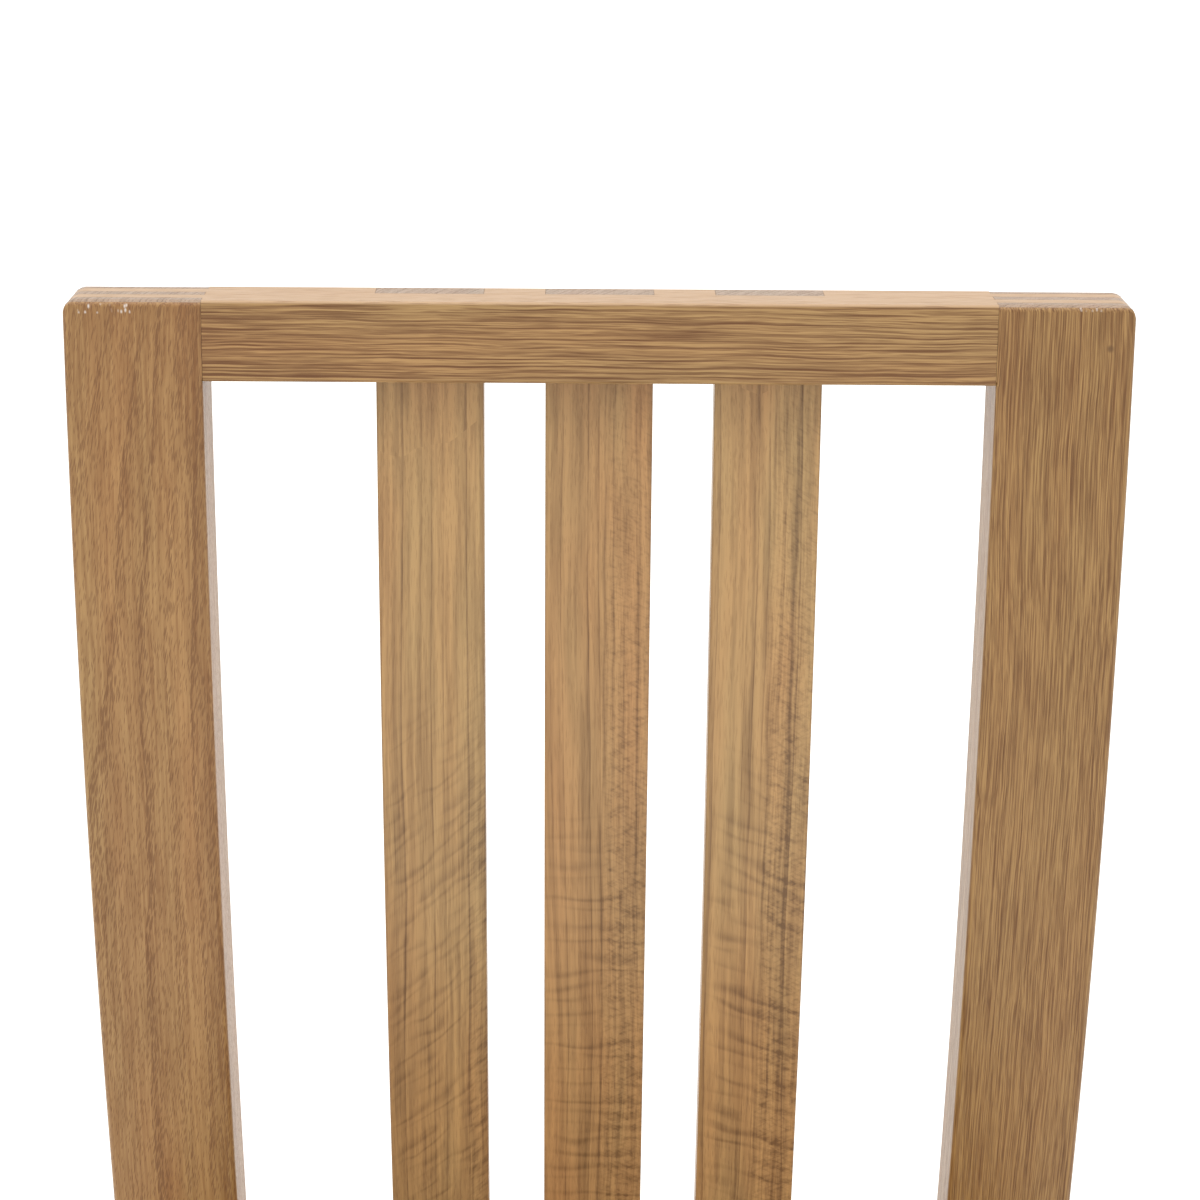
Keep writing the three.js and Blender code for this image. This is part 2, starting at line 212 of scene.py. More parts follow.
def sawn_wood(name, node, from_heart, grain="z", lean=0, bow=None, ring=3.0, early=0.45, lines=0.5,
              light="#b38958", dark="#7d542b", pore="#62401f", streaks=0.8, thread=(1.5, 4, 110),
              pores=0.45, vessel=(0.7, 16), slope=0, sway=5, wave=1, tint=0.35, level=0.3, years=0.2,
              shade_and_tone_fade=None, strips=(), figures=(), knot=None, painted_glints=None, painted_top_sheen=False):
    """Wood cut from a log and made smooth: lacquered oak, oak end grain, or planed beech.

    The pattern is solid, so it runs from face to face as in real wood. It is laid out in
    millimetres along the log: yearly rings round its heart, each with a darker band of early wood,
    long thin pores, fibre streaks, and a slow change of tone.

    `grain` is the chair's axis that the log lies along, and `lean` how far it tips, in degrees.
    `from_heart` is where the middle of the piece lies in the log, and `bow` is the radius that the
    grain of a bent piece follows. `ring` is the width of a year and `early` the share of it that is
    early wood. `thread` is the size of a fibre streak, and `vessel` the width and length of a pore.
    `sway` and `wave` are how far the log and its fibres wander. `lines`, `streaks`, `pores`,
    `years` and `tint` say how strongly the bands, the streaks, the pores, the good and bad years
    and the change of tone show, and `level` how dark the whole is.
    """
    material = bpy.data.materials.new(name)
    material.use_nodes = True
    tree = material.node_tree
    shader = tree.nodes["Principled BSDF"]
    turn = Euler({"x": (0, -pi / 2, 0), "y": (pi / 2, 0, 0), "z": (radians(lean), 0, 0)}[grain])
    low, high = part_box(node)
    middle = (Vector(low) + Vector(high)) / 2 / MM
    shift = Vector(from_heart) - turn.to_matrix() @ middle
    where = add(tree, "TexCoord", {}).outputs["Object"]
    spot = add(tree, "SeparateXYZ", {0: where})
    log = add(tree, "Mapping", {
        "Vector": where, "Location": shift, "Rotation": turn, "Scale": (1 / MM,) * 3,
    }).outputs[0]

    # The log is not quite straight: it sways over tens of centimetres, and its fibres wave finely.
    sway_size = (60, 60, 280)
    wave_size = (14, 14, 38)
    slow = add(tree, "VectorMath", {0: log, 1: sway_size}, operation="DIVIDE").outputs[0]
    slow = add(tree, "TexNoise", {"Vector": slow, "Scale": 1, "Detail": 1}).outputs["Color"]
    fine = add(tree, "VectorMath", {0: log, 1: wave_size}, operation="DIVIDE").outputs[0]
    fine = add(tree, "TexNoise", {"Vector": fine, "Scale": 1, "Detail": 1}).outputs["Color"]
    bent = add(tree, "VectorMath", {
        0: slow, 1: (sway,) * 3, 2: log,
    }, operation="MULTIPLY_ADD").outputs[0]
    bent = add(tree, "VectorMath", {
        0: fine, 1: (wave,) * 3, 2: bent,
    }, operation="MULTIPLY_ADD").outputs[0]

    # In a bent leg the grain bows back from its upright stretch, both upward and downward.
    if bow:
        parts = add(tree, "SeparateXYZ", {0: log})
        along = add(tree, "Math", {
            0: parts.outputs[2], 1: from_heart[2],
        }, operation="SUBTRACT").outputs[0]
        above = add(tree, "Math", {0: along, 1: 0}, operation="MAXIMUM").outputs[0]
        below = add(tree, "Math", {
            0: -upright_length / MM, 1: along,
        }, operation="SUBTRACT").outputs[0]
        below = add(tree, "Math", {0: below, 1: 0}, operation="MAXIMUM").outputs[0]
        square = add(tree, "Math", {0: above, 1: above}, operation="MULTIPLY").outputs[0]
        square = add(tree, "Math", {
            0: below, 1: below, 2: square,
        }, operation="MULTIPLY_ADD").outputs[0]
        rise = add(tree, "Math", {0: square, 1: -1 / (2 * bow)}, operation="MULTIPLY").outputs[0]
        rise = add(tree, "CombineXYZ", {1: rise}).outputs[0]
        bent = add(tree, "VectorMath", {0: bent, 1: rise}, operation="ADD").outputs[0]

    # Yearly rings of uneven width, in spells of about two years. Each begins with a dark band of
    # early wood, and some years have a stronger one.
    spell_rate = 0.45
    unevenness = 1.2
    weakest_band = 0.35
    flat = add(tree, "VectorMath", {0: bent, 1: (1, 1, 0)}, operation="MULTIPLY").outputs[0]
    radius = add(tree, "VectorMath", {0: flat}, operation="LENGTH").outputs["Value"]
    sides = add(tree, "SeparateXYZ", {0: bent})
    angle = add(tree, "Math", {
        0: sides.outputs[1], 1: sides.outputs[0],
    }, operation="ARCTAN2").outputs[0]
    girth = Vector(from_heart[:2]).length
    arc = add(tree, "Math", {0: angle, 1: girth}, operation="MULTIPLY").outputs[0]
    bark = add(tree, "CombineXYZ", {0: radius, 1: arc, 2: sides.outputs[2]}).outputs[0]
    age = add(tree, "Math", {0: radius, 1: ring}, operation="DIVIDE").outputs[0]
    spell = add(tree, "TexNoise", {
        "W": age, "Scale": spell_rate, "Detail": 0,
    }, noise_dimensions="1D").outputs[0]
    age = add(tree, "Math", {0: spell, 1: unevenness, 2: age}, operation="MULTIPLY_ADD").outputs[0]
    season = add(tree, "Math", {0: age}, operation="FRACT").outputs[0]
    year = add(tree, "Math", {0: age}, operation="FLOOR").outputs[0]
    vigour = add(tree, "TexWhiteNoise", {"W": year}, noise_dimensions="1D").outputs["Value"]
    band = add(tree, "MapRange", {
        "Value": season, "From Min": 0, "From Max": early, "To Min": 1, "To Max": 0,
    }, interpolation_type="SMOOTHSTEP").outputs[0]
    weight = add(tree, "Math", {
        0: vigour, 1: 1 - weakest_band, 2: weakest_band,
    }, operation="MULTIPLY_ADD").outputs[0]
    band = add(tree, "Math", {0: band, 1: weight}, operation="MULTIPLY").outputs[0]

    # Fibre streaks from 0.4 to 2 mm wide and some centimetres long. They lie in the rings, so most
    # are narrow across the rings and broader along them.
    fibres = add(tree, "VectorMath", {0: bark, 1: thread}, operation="DIVIDE").outputs[0]
    fibres = add(tree, "TexNoise", {
        "Vector": fibres, "Scale": 1, "Detail": 3, "Roughness": 0.6,
    }).outputs[0]
    fibres = add(tree, "MapRange", {
        "Value": fibres, "From Min": 0.34, "From Max": 0.66, "To Min": -0.5, "To Max": 0.5,
    }).outputs[0]

    # How deep the colour is: the level, a darker or paler year, its band and the streaks.
    depth = add(tree, "Math", {
        0: band, 1: lines, 2: level - years / 2,
    }, operation="MULTIPLY_ADD").outputs[0]
    depth = add(tree, "Math", {0: vigour, 1: years, 2: depth}, operation="MULTIPLY_ADD").outputs[0]
    depth = add(tree, "Math", {0: fibres, 1: streaks, 2: depth}, operation="MULTIPLY_ADD").outputs[0]

    # The colour darkens up or down the piece. On the rear legs this is painted shade, darker towards
    # their tops; on the slats it is the wood's own tone, darker low down. The three numbers given for
    # it are the height where that starts, the height where it is complete, and how much.
    if shade_and_tone_fade:
        start, end, amount = shade_and_tone_fade
        darker = add(tree, "MapRange", {
            "Value": spot.outputs[2], "From Min": start * MM, "From Max": end * MM, "To Max": amount,
        }, interpolation_type="SMOOTHSTEP").outputs[0]
        depth = add(tree, "Math", {0: depth, 1: darker}, operation="ADD").outputs[0]

    # Darker strips that run up the piece and waver a little. Each of `strips` is its place across,
    # the distance to its edges, and its strength.
    if strips:
        strip_waver = 3 * MM
        waver = add(tree, "SeparateXYZ", {0: fine}).outputs[0]
        waver = add(tree, "Math", {
            0: waver, 1: strip_waver, 2: -strip_waver / 2,
        }, operation="MULTIPLY_ADD").outputs[0]
        waver = add(tree, "Math", {0: spot.outputs[0], 1: waver}, operation="ADD").outputs[0]
    for at, half_width, strength in strips:
        off = add(tree, "Math", {0: waver, 1: at * MM}, operation="SUBTRACT").outputs[0]
        off = add(tree, "Math", {0: off}, operation="ABSOLUTE").outputs[0]
        strip = add(tree, "MapRange", {
            "Value": off, "From Min": 0, "From Max": half_width * MM, "To Min": strength, "To Max": 0,
        }, interpolation_type="SMOOTHSTEP").outputs[0]
        depth = add(tree, "Math", {0: depth, 1: strip}, operation="ADD").outputs[0]
        band = add(tree, "Math", {0: band, 1: strip}, operation="ADD").outputs[0]

    # Figure, where the fibres curl: soft ripples across the grain, or short flecks. Each of
    # `figures` has its tilt in degrees, the length of a mark, the gap to the next, how much of the
    # gap it darkens, and the stretches across and down the piece over which it comes in.
    figure_depth = 20
    ripple_bend = 2.2
    fleck_start = 0.48
    for figure in figures:
        thickness, strength = figure["thickness"], figure["strength"]
        turned = add(tree, "Mapping", {
            "Vector": bent, "Rotation": (0, radians(figure["tilt"]), 0),
        }).outputs[0]
        curl = add(tree, "VectorMath", {
            0: turned, 1: (figure["length"], figure_depth, figure["gap"]),
        }, operation="DIVIDE").outputs[0]
        if figure["kind"] == "ripples":
            patch = add(tree, "TexNoise", {"Vector": curl, "Scale": 0.8, "Detail": 1}).outputs[0]
            rise = add(tree, "SeparateXYZ", {0: curl}).outputs[2]
            curl = add(tree, "Math", {
                0: patch, 1: ripple_bend, 2: rise,
            }, operation="MULTIPLY_ADD").outputs[0]
            curl = add(tree, "Math", {0: curl, 1: 0.5}, operation="PINGPONG").outputs[0]
            curl = add(tree, "MapRange", {
                "Value": curl, "From Min": 0, "From Max": thickness, "To Min": strength, "To Max": 0,
            }, interpolation_type="SMOOTHSTEP").outputs[0]
            patch = add(tree, "MapRange", {
                "Value": patch, "From Min": 0.36, "From Max": 0.6,
            }).outputs[0]
            curl = add(tree, "Math", {0: curl, 1: patch}, operation="MULTIPLY").outputs[0]
        else:
            curl = add(tree, "TexNoise", {
                "Vector": curl, "Scale": 1, "Detail": 3, "Roughness": 0.55,
            }).outputs[0]
            curl = add(tree, "MapRange", {
                "Value": curl, "From Min": fleck_start, "From Max": fleck_start + thickness,
                "To Max": strength,
            }).outputs[0]
        for axis, (start, end) in ((0, figure["across"]), (2, figure["down"])):
            shown = add(tree, "MapRange", {
                "Value": spot.outputs[axis], "From Min": start * MM, "From Max": end * MM,
            }, interpolation_type="SMOOTHSTEP").outputs[0]
            curl = add(tree, "Math", {0: curl, 1: shown}, operation="MULTIPLY").outputs[0]
        depth = add(tree, "Math", {0: depth, 1: curl}, operation="ADD").outputs[0]

    # The crest rail's top face is painted paler and plainer than its front: painted sheen, standing for
    # the lacquer's reflection at a glancing angle. `crown` is how high that face lies along its own
    # upward direction.
    if painted_top_sheen:
        up = Vector((0, sin(top_angle), cos(top_angle)))
        crown = on_bend(0, 0, 0).dot(up)
        height = add(tree, "VectorMath", {
            0: where, 1: up,
        }, operation="DOT_PRODUCT").outputs["Value"]
        grained = add(tree, "MapRange", {
            "Value": height, "From Min": crown - 1.6 * MM, "From Max": crown - 0.3 * MM,
            "To Min": 1, "To Max": 0.25,
        }, interpolation_type="SMOOTHSTEP").outputs[0]
        depth = add(tree, "Math", {0: depth, 1: grained}, operation="MULTIPLY").outputs[0]
        band = add(tree, "Math", {0: band, 1: grained}, operation="MULTIPLY").outputs[0]
        top_sheen = add(tree, "Math", {0: 1.0, 1: grained}, operation="SUBTRACT").outputs[0]

    # Pores: vessels 0.3 mm across and 10 mm long, thickest in the early wood. They are drawn a
    # little wider than real, so that they show. `slope` is how far they lean, in degrees.
    crowding = -0.32
    pore_width, pore_length = vessel
    vessels = add(tree, "Mapping", {
        "Vector": bent, "Rotation": (0, radians(slope), 0),
    }).outputs[0]
    cell = add(tree, "VectorMath", {
        0: vessels, 1: (pore_width, pore_width, pore_length),
    }, operation="DIVIDE").outputs[0]
    cell = add(tree, "TexVoronoi", {"Vector": cell, "Scale": 1}).outputs["Distance"]
    cell = add(tree, "Math", {0: band, 1: crowding, 2: cell}, operation="MULTIPLY_ADD").outputs[0]
    hole = add(tree, "MapRange", {
        "Value": cell, "From Min": 0.16, "From Max": 0.4, "To Min": 1, "To Max": 0,
    }, interpolation_type="SMOOTHSTEP").outputs[0]

    # Tone wanders between a redder and a more olive brown, over some centimetres.
    tone_size = (20, 20, 190)
    redder = (0.10, -0.06, -0.16)
    greener = (-0.10, 0.02, 0.04)
    tone = add(tree, "VectorMath", {0: bent, 1: tone_size}, operation="DIVIDE").outputs[0]
    tone = add(tree, "TexNoise", {"Vector": tone, "Scale": 1, "Detail": 2}).outputs[0]
    tone = add(tree, "MapRange", {"Value": tone, "From Min": 0.3, "From Max": 0.7}).outputs[0]
    hue = add(tree, "Mix", {
        0: tone,
        6: [1 + part * tint for part in redder] + [1],
        7: [1 + part * tint for part in greener] + [1],
    }, data_type="RGBA").outputs[2]
    wood = add(tree, "Mix", {
        0: depth, 6: linear(light), 7: linear(dark),
    }, data_type="RGBA").outputs[2]
    wood = add(tree, "Mix", {
        0: 1.0, 6: wood, 7: hue,
    }, data_type="RGBA", blend_type="MULTIPLY").outputs[2]
    # Painted sheen: the top face is mixed towards a paler, greyer brown.
    if painted_top_sheen:
        wood = add(tree, "Mix", {
            0: top_sheen, 6: wood, 7: linear("#ab8b6a"),
        }, data_type="RGBA").outputs[2]
    filled = add(tree, "Math", {0: hole, 1: pores}, operation="MULTIPLY").outputs[0]
    wood = add(tree, "Mix", {0: filled, 6: wood, 7: linear(pore)}, data_type="RGBA").outputs[2]

    # A pin knot: a dark dot about 3 mm wide. `knot` is its place across and its height.
    if knot:
        knot_x, knot_z = knot
        off = add(tree, "VectorMath", {
            0: where, 1: (-knot_x * MM, 0, -knot_z * MM),
        }, operation="ADD").outputs[0]
        off = add(tree, "VectorMath", {0: off, 1: (1, 0, 1)}, operation="MULTIPLY").outputs[0]
        off = add(tree, "VectorMath", {0: off}, operation="LENGTH").outputs["Value"]
        pin = add(tree, "MapRange", {
            "Value": off, "From Min": 0.5 * MM, "From Max": 2.2 * MM, "To Min": 0.75, "To Max": 0,
        }, interpolation_type="SMOOTHSTEP").outputs[0]
        wood = add(tree, "Mix", {0: pin, 6: wood, 7: linear(pore)}, data_type="RGBA").outputs[2]

    # Painted glints: small whitish flecks of painted highlight along a rounded edge, where it catches
    # the light. The three numbers given for them are the stretch across, the stretch of height, and the
    # strength.
    if painted_glints:
        across, heights, strength = painted_glints
        glint_size = (1.5 * MM, 40 * MM, 2.8 * MM)
        glint_tilt = radians(24)
        glint_margin = 0.6 * MM
        marks = add(tree, "Mapping", {
            "Vector": where, "Rotation": (0, glint_tilt, 0), "Scale": [1 / size for size in glint_size],
        }).outputs[0]
        cells = add(tree, "TexVoronoi", {"Vector": marks, "Scale": 1})
        glint = add(tree, "MapRange", {
            "Value": cells.outputs["Distance"], "From Min": 0.1, "From Max": 0.42,
            "To Min": 1, "To Max": 0,
        }).outputs[0]
        chance = add(tree, "SeparateXYZ", {0: cells.outputs["Color"]}).outputs[0]
        chance = add(tree, "MapRange", {
            "Value": chance, "From Min": 0.25, "From Max": 0.45,
        }).outputs[0]
        glint = add(tree, "Math", {0: glint, 1: chance}, operation="MULTIPLY").outputs[0]
        for axis, (first, last) in ((0, across), (2, heights)):
            half = (last - first) / 2 * MM
            off = add(tree, "Math", {
                0: spot.outputs[axis], 1: -(first + last) / 2 * MM,
            }, operation="ADD").outputs[0]
            off = add(tree, "Math", {0: off}, operation="ABSOLUTE").outputs[0]
            off = add(tree, "MapRange", {
                "Value": off, "From Min": half - glint_margin, "From Max": half,
                "To Min": 1, "To Max": 0,
            }).outputs[0]
            glint = add(tree, "Math", {0: glint, 1: off}, operation="MULTIPLY").outputs[0]
        glint = add(tree, "Math", {0: glint, 1: strength}, operation="MULTIPLY").outputs[0]
        wood = add(tree, "Mix", {
            0: glint, 6: wood, 7: linear("#e6ded6"),
        }, data_type="RGBA").outputs[2]
    tree.links.new(wood, shader.inputs["Base Color"])

    # The satin finish gives a soft, even sheen. It lies thin over the open pores, so they stay
    # slightly sunk and duller.
    pore_dullness = 0.12
    pore_depth = 0.1 * MM
    gloss = add(tree, "MapRange", {
        "Value": fibres, "From Min": -0.5, "From Max": 0.5, "To Min": 0.36, "To Max": 0.46,
    }).outputs[0]
    gloss = add(tree, "Math", {
        0: hole, 1: pore_dullness, 2: gloss,
    }, operation="MULTIPLY_ADD").outputs[0]
    tree.links.new(gloss, shader.inputs["Roughness"])
    relief = add(tree, "Bump", {
        "Height": hole, "Strength": 0.35, "Distance": pore_depth,
    }, invert=True)
    tree.links.new(relief.outputs[0], shader.inputs["Normal"])
    shader.inputs["IOR"].default_value = 1.5
    shader.inputs["Coat Weight"].default_value = 0.08
    shader.inputs["Coat Roughness"].default_value = 0.24
    return material


def finish(piece, node, slot, *materials):
    """Gives a piece its materials and its body, and hides the CAD node that it stands for. The slot,
    its finish, is not used.
    """
    for material in materials:
        piece.data.materials.append(material)
    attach(piece, "root")
    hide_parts(node)


leg_eased = 2.2 * MM
leg_top_eased = 3 * MM
leg_corner = 6 * MM
rail_seat_drops = [
    bend_length + bend_start - height
    for height in (rail_low[2] + tenon_shoulder, rail_high[2] - tenon_shoulder)
]
leg_grid_x = spread([leg_inner, leg_inner + rear_tenon, *side_tenon_x, leg_outer])
leg_grid_depths = spread([0, *rear_tenon_depths, rear_tenon, leg_depth] + [
    edge for low, high in finger_gaps for edge in (low - glue_line, high + glue_line)
])
leg_grid_drops = spread(
    [0, crest_height + glue_line, *lower_tenon_drops, *rail_seat_drops]
    + stations(crest_height + glue_line, bend_length)
    + stations(bend_length, bend_length + upright_length)
    + stations(bend_length + upright_length, bend_length + upright_length + rake_length)
)
leg_end = leg_grid_drops[-1]


def rear_leg(side, sign, *woods):
    """One rear leg, on the side that the sign of x gives, in its face wood and end grain."""
    outer, inner = sign * leg_outer, sign * leg_inner

    def gone(x, depth, drop):
        across = abs(x)
        if drop < crest_height + glue_line:
            return any(low - glue_line < depth < high + glue_line for low, high in finger_gaps)
        if rear_tenon_depths[0] < depth < rear_tenon_depths[1] and across < leg_inner + rear_tenon:
            if lower_tenon_drops[0] < drop < lower_tenon_drops[1]:
                return True
            return rail_seat_drops[1] < drop < rail_seat_drops[0]
        in_side_mortise = side_tenon_x[0] < across < side_tenon_x[1] and depth < rear_tenon
        return in_side_mortise and rail_seat_drops[1] < drop < rail_seat_drops[0]

    def rounding(way, middle):
        x, depth, drop = middle
        on_face = near(depth, 0, leg_depth)
        if way == 2 and on_face and near(x, outer, inner):
            return leg_eased if drop > crest_height + glue_line or near(x, outer) else 0
        if way == 0 and near(drop, 0) and on_face:
            return leg_top_eased
        if way == 1 and near(drop, 0) and near(x, outer):
            return leg_corner
        if near(drop, leg_end) and (near(x, outer, inner) or on_face):
            return leg_eased
        return 0

    across = sorted(sign * x for x in leg_grid_x)
    grid = [across, leg_grid_depths, leg_grid_drops]
    piece = carve(f"rear_leg_{side}_oak", grid, on_leg, gone, rounding, grain_axis=2)
    finish(piece, f"rear_leg_{side}", "oak", *woods)


# The leg tops and the slat ends are cut across the grain. Their end grain colour is painted greyer than
# the lacquered faces: painted sheen, for the gloss of the lacquer on them at a glancing angle. The left
# leg is flat-sawn, with soft broad figure and slanting pores, and the right one rift-sawn, with fine
# straight lines.
end_grain_with_painted_sheen = sawn_wood(
    "oak_end_grain_with_painted_sheen", "rear_leg_right", (-60, 70, 0), ring=2.2, streaks=0.4,
    light="#997f68", dark="#735b45", pore="#55402c", level=0.2,
)
# Painted shade: both rear legs are darkened towards their tops.
rear_leg("left", -1, sawn_wood(
    "satin_lacquered_flat_sawn_oak", "rear_leg_left", (26, -74, 0), bow=1800, lines=0.08,
    light="#aa8351", dark="#7a4f23", pore="#683f1a", streaks=0.6, thread=(0.8, 0.8, 44), pores=0.62,
    vessel=(0.55, 6), slope=-9, tint=0.4, years=0.1, level=0.27, shade_and_tone_fade=(880, 990, 0.2),
    strips=[(-213, 10, 0.12), (-198, 9, 0.12), (-171, 8, 0.32)],
    # Painted glints: whitish flecks of highlight along the top front edge of this leg.
    painted_glints=((-227, -196), (994.4, 998.6), 0.75),
), end_grain_with_painted_sheen)
rear_leg("right", 1, sawn_wood(
    "satin_lacquered_rift_sawn_oak", "rear_leg_right", (-150, -150, 900), bow=1725, ring=1.5,
    light="#a6804c", dark="#6b4317", pore="#5f3f1c", lines=0.18, streaks=1.12,
    thread=(0.38, 0.8, 42), pores=0.35, vessel=(0.42, 12), slope=2, tint=0.2, level=0.39, years=0.06,
    # Painted glints: whitish flecks of highlight along the top front edge of this leg.
    shade_and_tone_fade=(880, 990, 0.12), knot=(214.5, 982.5), painted_glints=((198, 224), (997.4, 999.8), 0.4),
), end_grain_with_painted_sheen)

# Crest rail. It is straight-grained oak, let into both legs with a comb joint, so that two of its
# layers show as pale tongues in the dark end grain of each leg. Three slats come up through it.
slat_width = 46 * MM
slat_pitch = 72.3 * MM
slat_depths = (19.5 * MM, 34.5 * MM)
slat_shoulder = 1 * MM
tenon_depths = (slat_depths[0] + slat_shoulder, slat_depths[1] - slat_shoulder)
slat_centres = {"left": -slat_pitch, "middle": 0, "right": slat_pitch}
rail_eased = 1.4 * MM


def in_slot(x, depth):
    """Whether a place is in the hole for a slat's tenon, seen along the slat."""
    in_width = any(abs(x - centre) < slat_width / 2 + glue_line for centre in slat_centres.values())
    return in_width and tenon_depths[0] - glue_line < depth < tenon_depths[1] + glue_line


def crest_gone(x, depth, drop):
    in_tongue = any(low < depth < high for low, high in finger_gaps)
    return in_slot(x, depth) or (abs(x) > leg_inner - glue_line and not in_tongue)


def crest_rounding(way, middle):
    x, depth, drop = middle
    if way == 0 and near(depth, 0, leg_depth) and near(drop, 0, crest_height):
        return rail_eased
    if way == 1 and near(drop, 0) and near(abs(x), leg_outer):
        return leg_corner
    return 0


slot_edges = [
    centre + side * (slat_width / 2 + glue_line)
    for centre in slat_centres.values() for side in (-1, 1)
]
slot_depths = [tenon_depths[0] - glue_line, tenon_depths[1] + glue_line]
crest_grid = [
    spread([-leg_outer, glue_line - leg_inner, leg_inner - glue_line, leg_outer] + slot_edges),
    spread([0, leg_depth] + slot_depths + [edge for gap in finger_gaps for edge in gap]),
    [0, crest_height / 2, crest_height],
]
end_grain = sawn_wood(
    "lacquered_oak_end_grain", "crest_rail", (-60, 70, 0), grain="x", ring=2.2, streaks=0.4,
    light="#95714a", dark="#6b4b2c", pore="#4f351d", level=0.2,
)
crest = carve("crest_rail_oak", crest_grid, on_bend, crest_gone, crest_rounding, grain_axis=0)
# The rail's top face carries painted sheen, paler and plainer than its front.
finish(crest, "crest_rail", "oak", sawn_wood(
    "satin_lacquered_ring_edged_oak", "crest_rail", (-130, 20, 300), grain="x", ring=2.8,
    light="#ac8654", dark="#653c12", pore="#6b431b", streaks=1.15, thread=(0.78, 14, 52), early=0.4,
    sway=6, wave=1.9, level=0.38, years=0.1, strips=[(-170, 80, 0.2)], painted_top_sheen=True,
), end_grain)

# Lower back rail. It follows the same bend, with blind tenons into the legs, and has three slots
# on top for the lower tenons of the slats.
lower_tenon = 20 * MM
lower_rail_end = leg_inner - glue_line
lower_rail_tip = leg_inner + rear_tenon
lower_grid = [
    spread([-lower_rail_tip, -lower_rail_end, lower_rail_end, lower_rail_tip] + slot_edges),
    spread([0, leg_depth, *rear_tenon_depths] + slot_depths),
    spread([lower_rail_drop, *lower_tenon_drops, lower_rail_drop + lower_tenon,
            lower_rail_drop + lower_rail_height]),
]


def lower_gone(x, depth, drop):
    in_tenon = (rear_tenon_depths[0] < depth < rear_tenon_depths[1]
                and lower_tenon_drops[0] < drop < lower_tenon_drops[1])
    slotted = in_slot(x, depth) and drop < lower_rail_drop + lower_tenon
    return slotted or (abs(x) > lower_rail_end and not in_tenon)


def lower_rounding(way, middle):
    x, depth, drop = middle
    on_face = near(depth, 0, leg_depth)
    on_edge = near(drop, lower_rail_drop, lower_rail_drop + lower_rail_height)
    return rail_eased if way == 0 and on_face and on_edge else 0


lower_rail = carve("lower_back_rail_oak", lower_grid, on_bend, lower_gone, lower_rounding, grain_axis=0)
finish(lower_rail, "lower_back_rail", "oak", sawn_wood(
    "satin_lacquered_oak_lower_rail", "lower_back_rail", (-90, -50, -200), grain="x",
), end_grain)

# Back slats. Three thin oak boards, bent like the legs. Each ends in a tenon that goes right
# through the crest rail, and in a blind one that goes down into the lower back rail.
slat_eased = 0.95 * MM
slat_top = crest_height + glue_line
slat_bottom = lower_rail_drop - glue_line
slat_end = lower_rail_drop + lower_tenon

# They are quarter-sawn, so the rings show as fine upright lines. Near the right edge and low down
# the fibres curl, which shows as flecks and as ripples across the grain.
slat_looks = {
    "left": dict(
        from_heart=(-260, 8, 0), light="#b89260", dark="#705233", shade_and_tone_fade=(900, 600, 0.12),
        strips=[(-57, 1.0, 0.22), (-66, 0.9, 0.15), (-77, 0.9, 0.12), (-93, 5, 0.1)],
        figures=[
            dict(kind="ripples", tilt=44, length=16, gap=6, thickness=0.38, strength=0.30,
                 across=(-100, -85), down=(850, 740)),
            dict(kind="flecks", tilt=48, length=6, gap=1.3, thickness=0.2, strength=0.28,
                 across=(-60, -56), down=(900, 740)),
        ],
    ),
    "middle": dict(
        from_heart=(-230, -6, 500), light="#b58c5b", dark="#70502f", shade_and_tone_fade=(900, 600, 0.03),
        strips=[(-4, 1.0, 0.2), (3, 1.0, 0.28), (7, 0.9, 0.24), (12, 1.3, 0.28), (18, 1.3, 0.26)],
        figures=[
            dict(kind="ripples", tilt=-4, length=30, gap=8, thickness=0.38, strength=0.36,
                 across=(-34, -8), down=(790, 710)),
            dict(kind="flecks", tilt=-30, length=5, gap=1.6, thickness=0.2, strength=0.31,
                 across=(0, 8), down=(1040, 860)),
            dict(kind="flecks", tilt=26, length=6, gap=1.8, thickness=0.2, strength=0.27,
                 across=(0, 8), down=(980, 780)),
        ],
    ),
    "right": dict(
        from_heart=(-290, 4, 1100), light="#b99361", dark="#705233", shade_and_tone_fade=(900, 600, 0.05),
        strips=[(68, 1.0, 0.2), (76, 1.0, 0.26), (81, 0.9, 0.22), (86, 1.4, 0.24), (52, 4, 0.12)],
        figures=[
            dict(kind="ripples", tilt=-22, length=30, gap=8, thickness=0.38, strength=0.38,
                 across=(48, 62), down=(820, 720)),
            dict(kind="flecks", tilt=-30, length=5, gap=1.6, thickness=0.2, strength=0.31,
                 across=(72, 80), down=(1040, 860)),
            dict(kind="flecks", tilt=26, length=6, gap=1.8, thickness=0.2, strength=0.27,
                 across=(72, 80), down=(980, 780)),
        ],
    ),
}


def slat_gone(x, depth, drop):
    return not slat_top < drop < slat_bottom and not tenon_depths[0] < depth < tenon_depths[1]


def slat_rounding(way, middle):
    x, depth, drop = middle
    in_sight = slat_top - MM < drop < slat_bottom + MM
    return slat_eased if way == 2 and near(depth, *slat_depths) and in_sight else 0


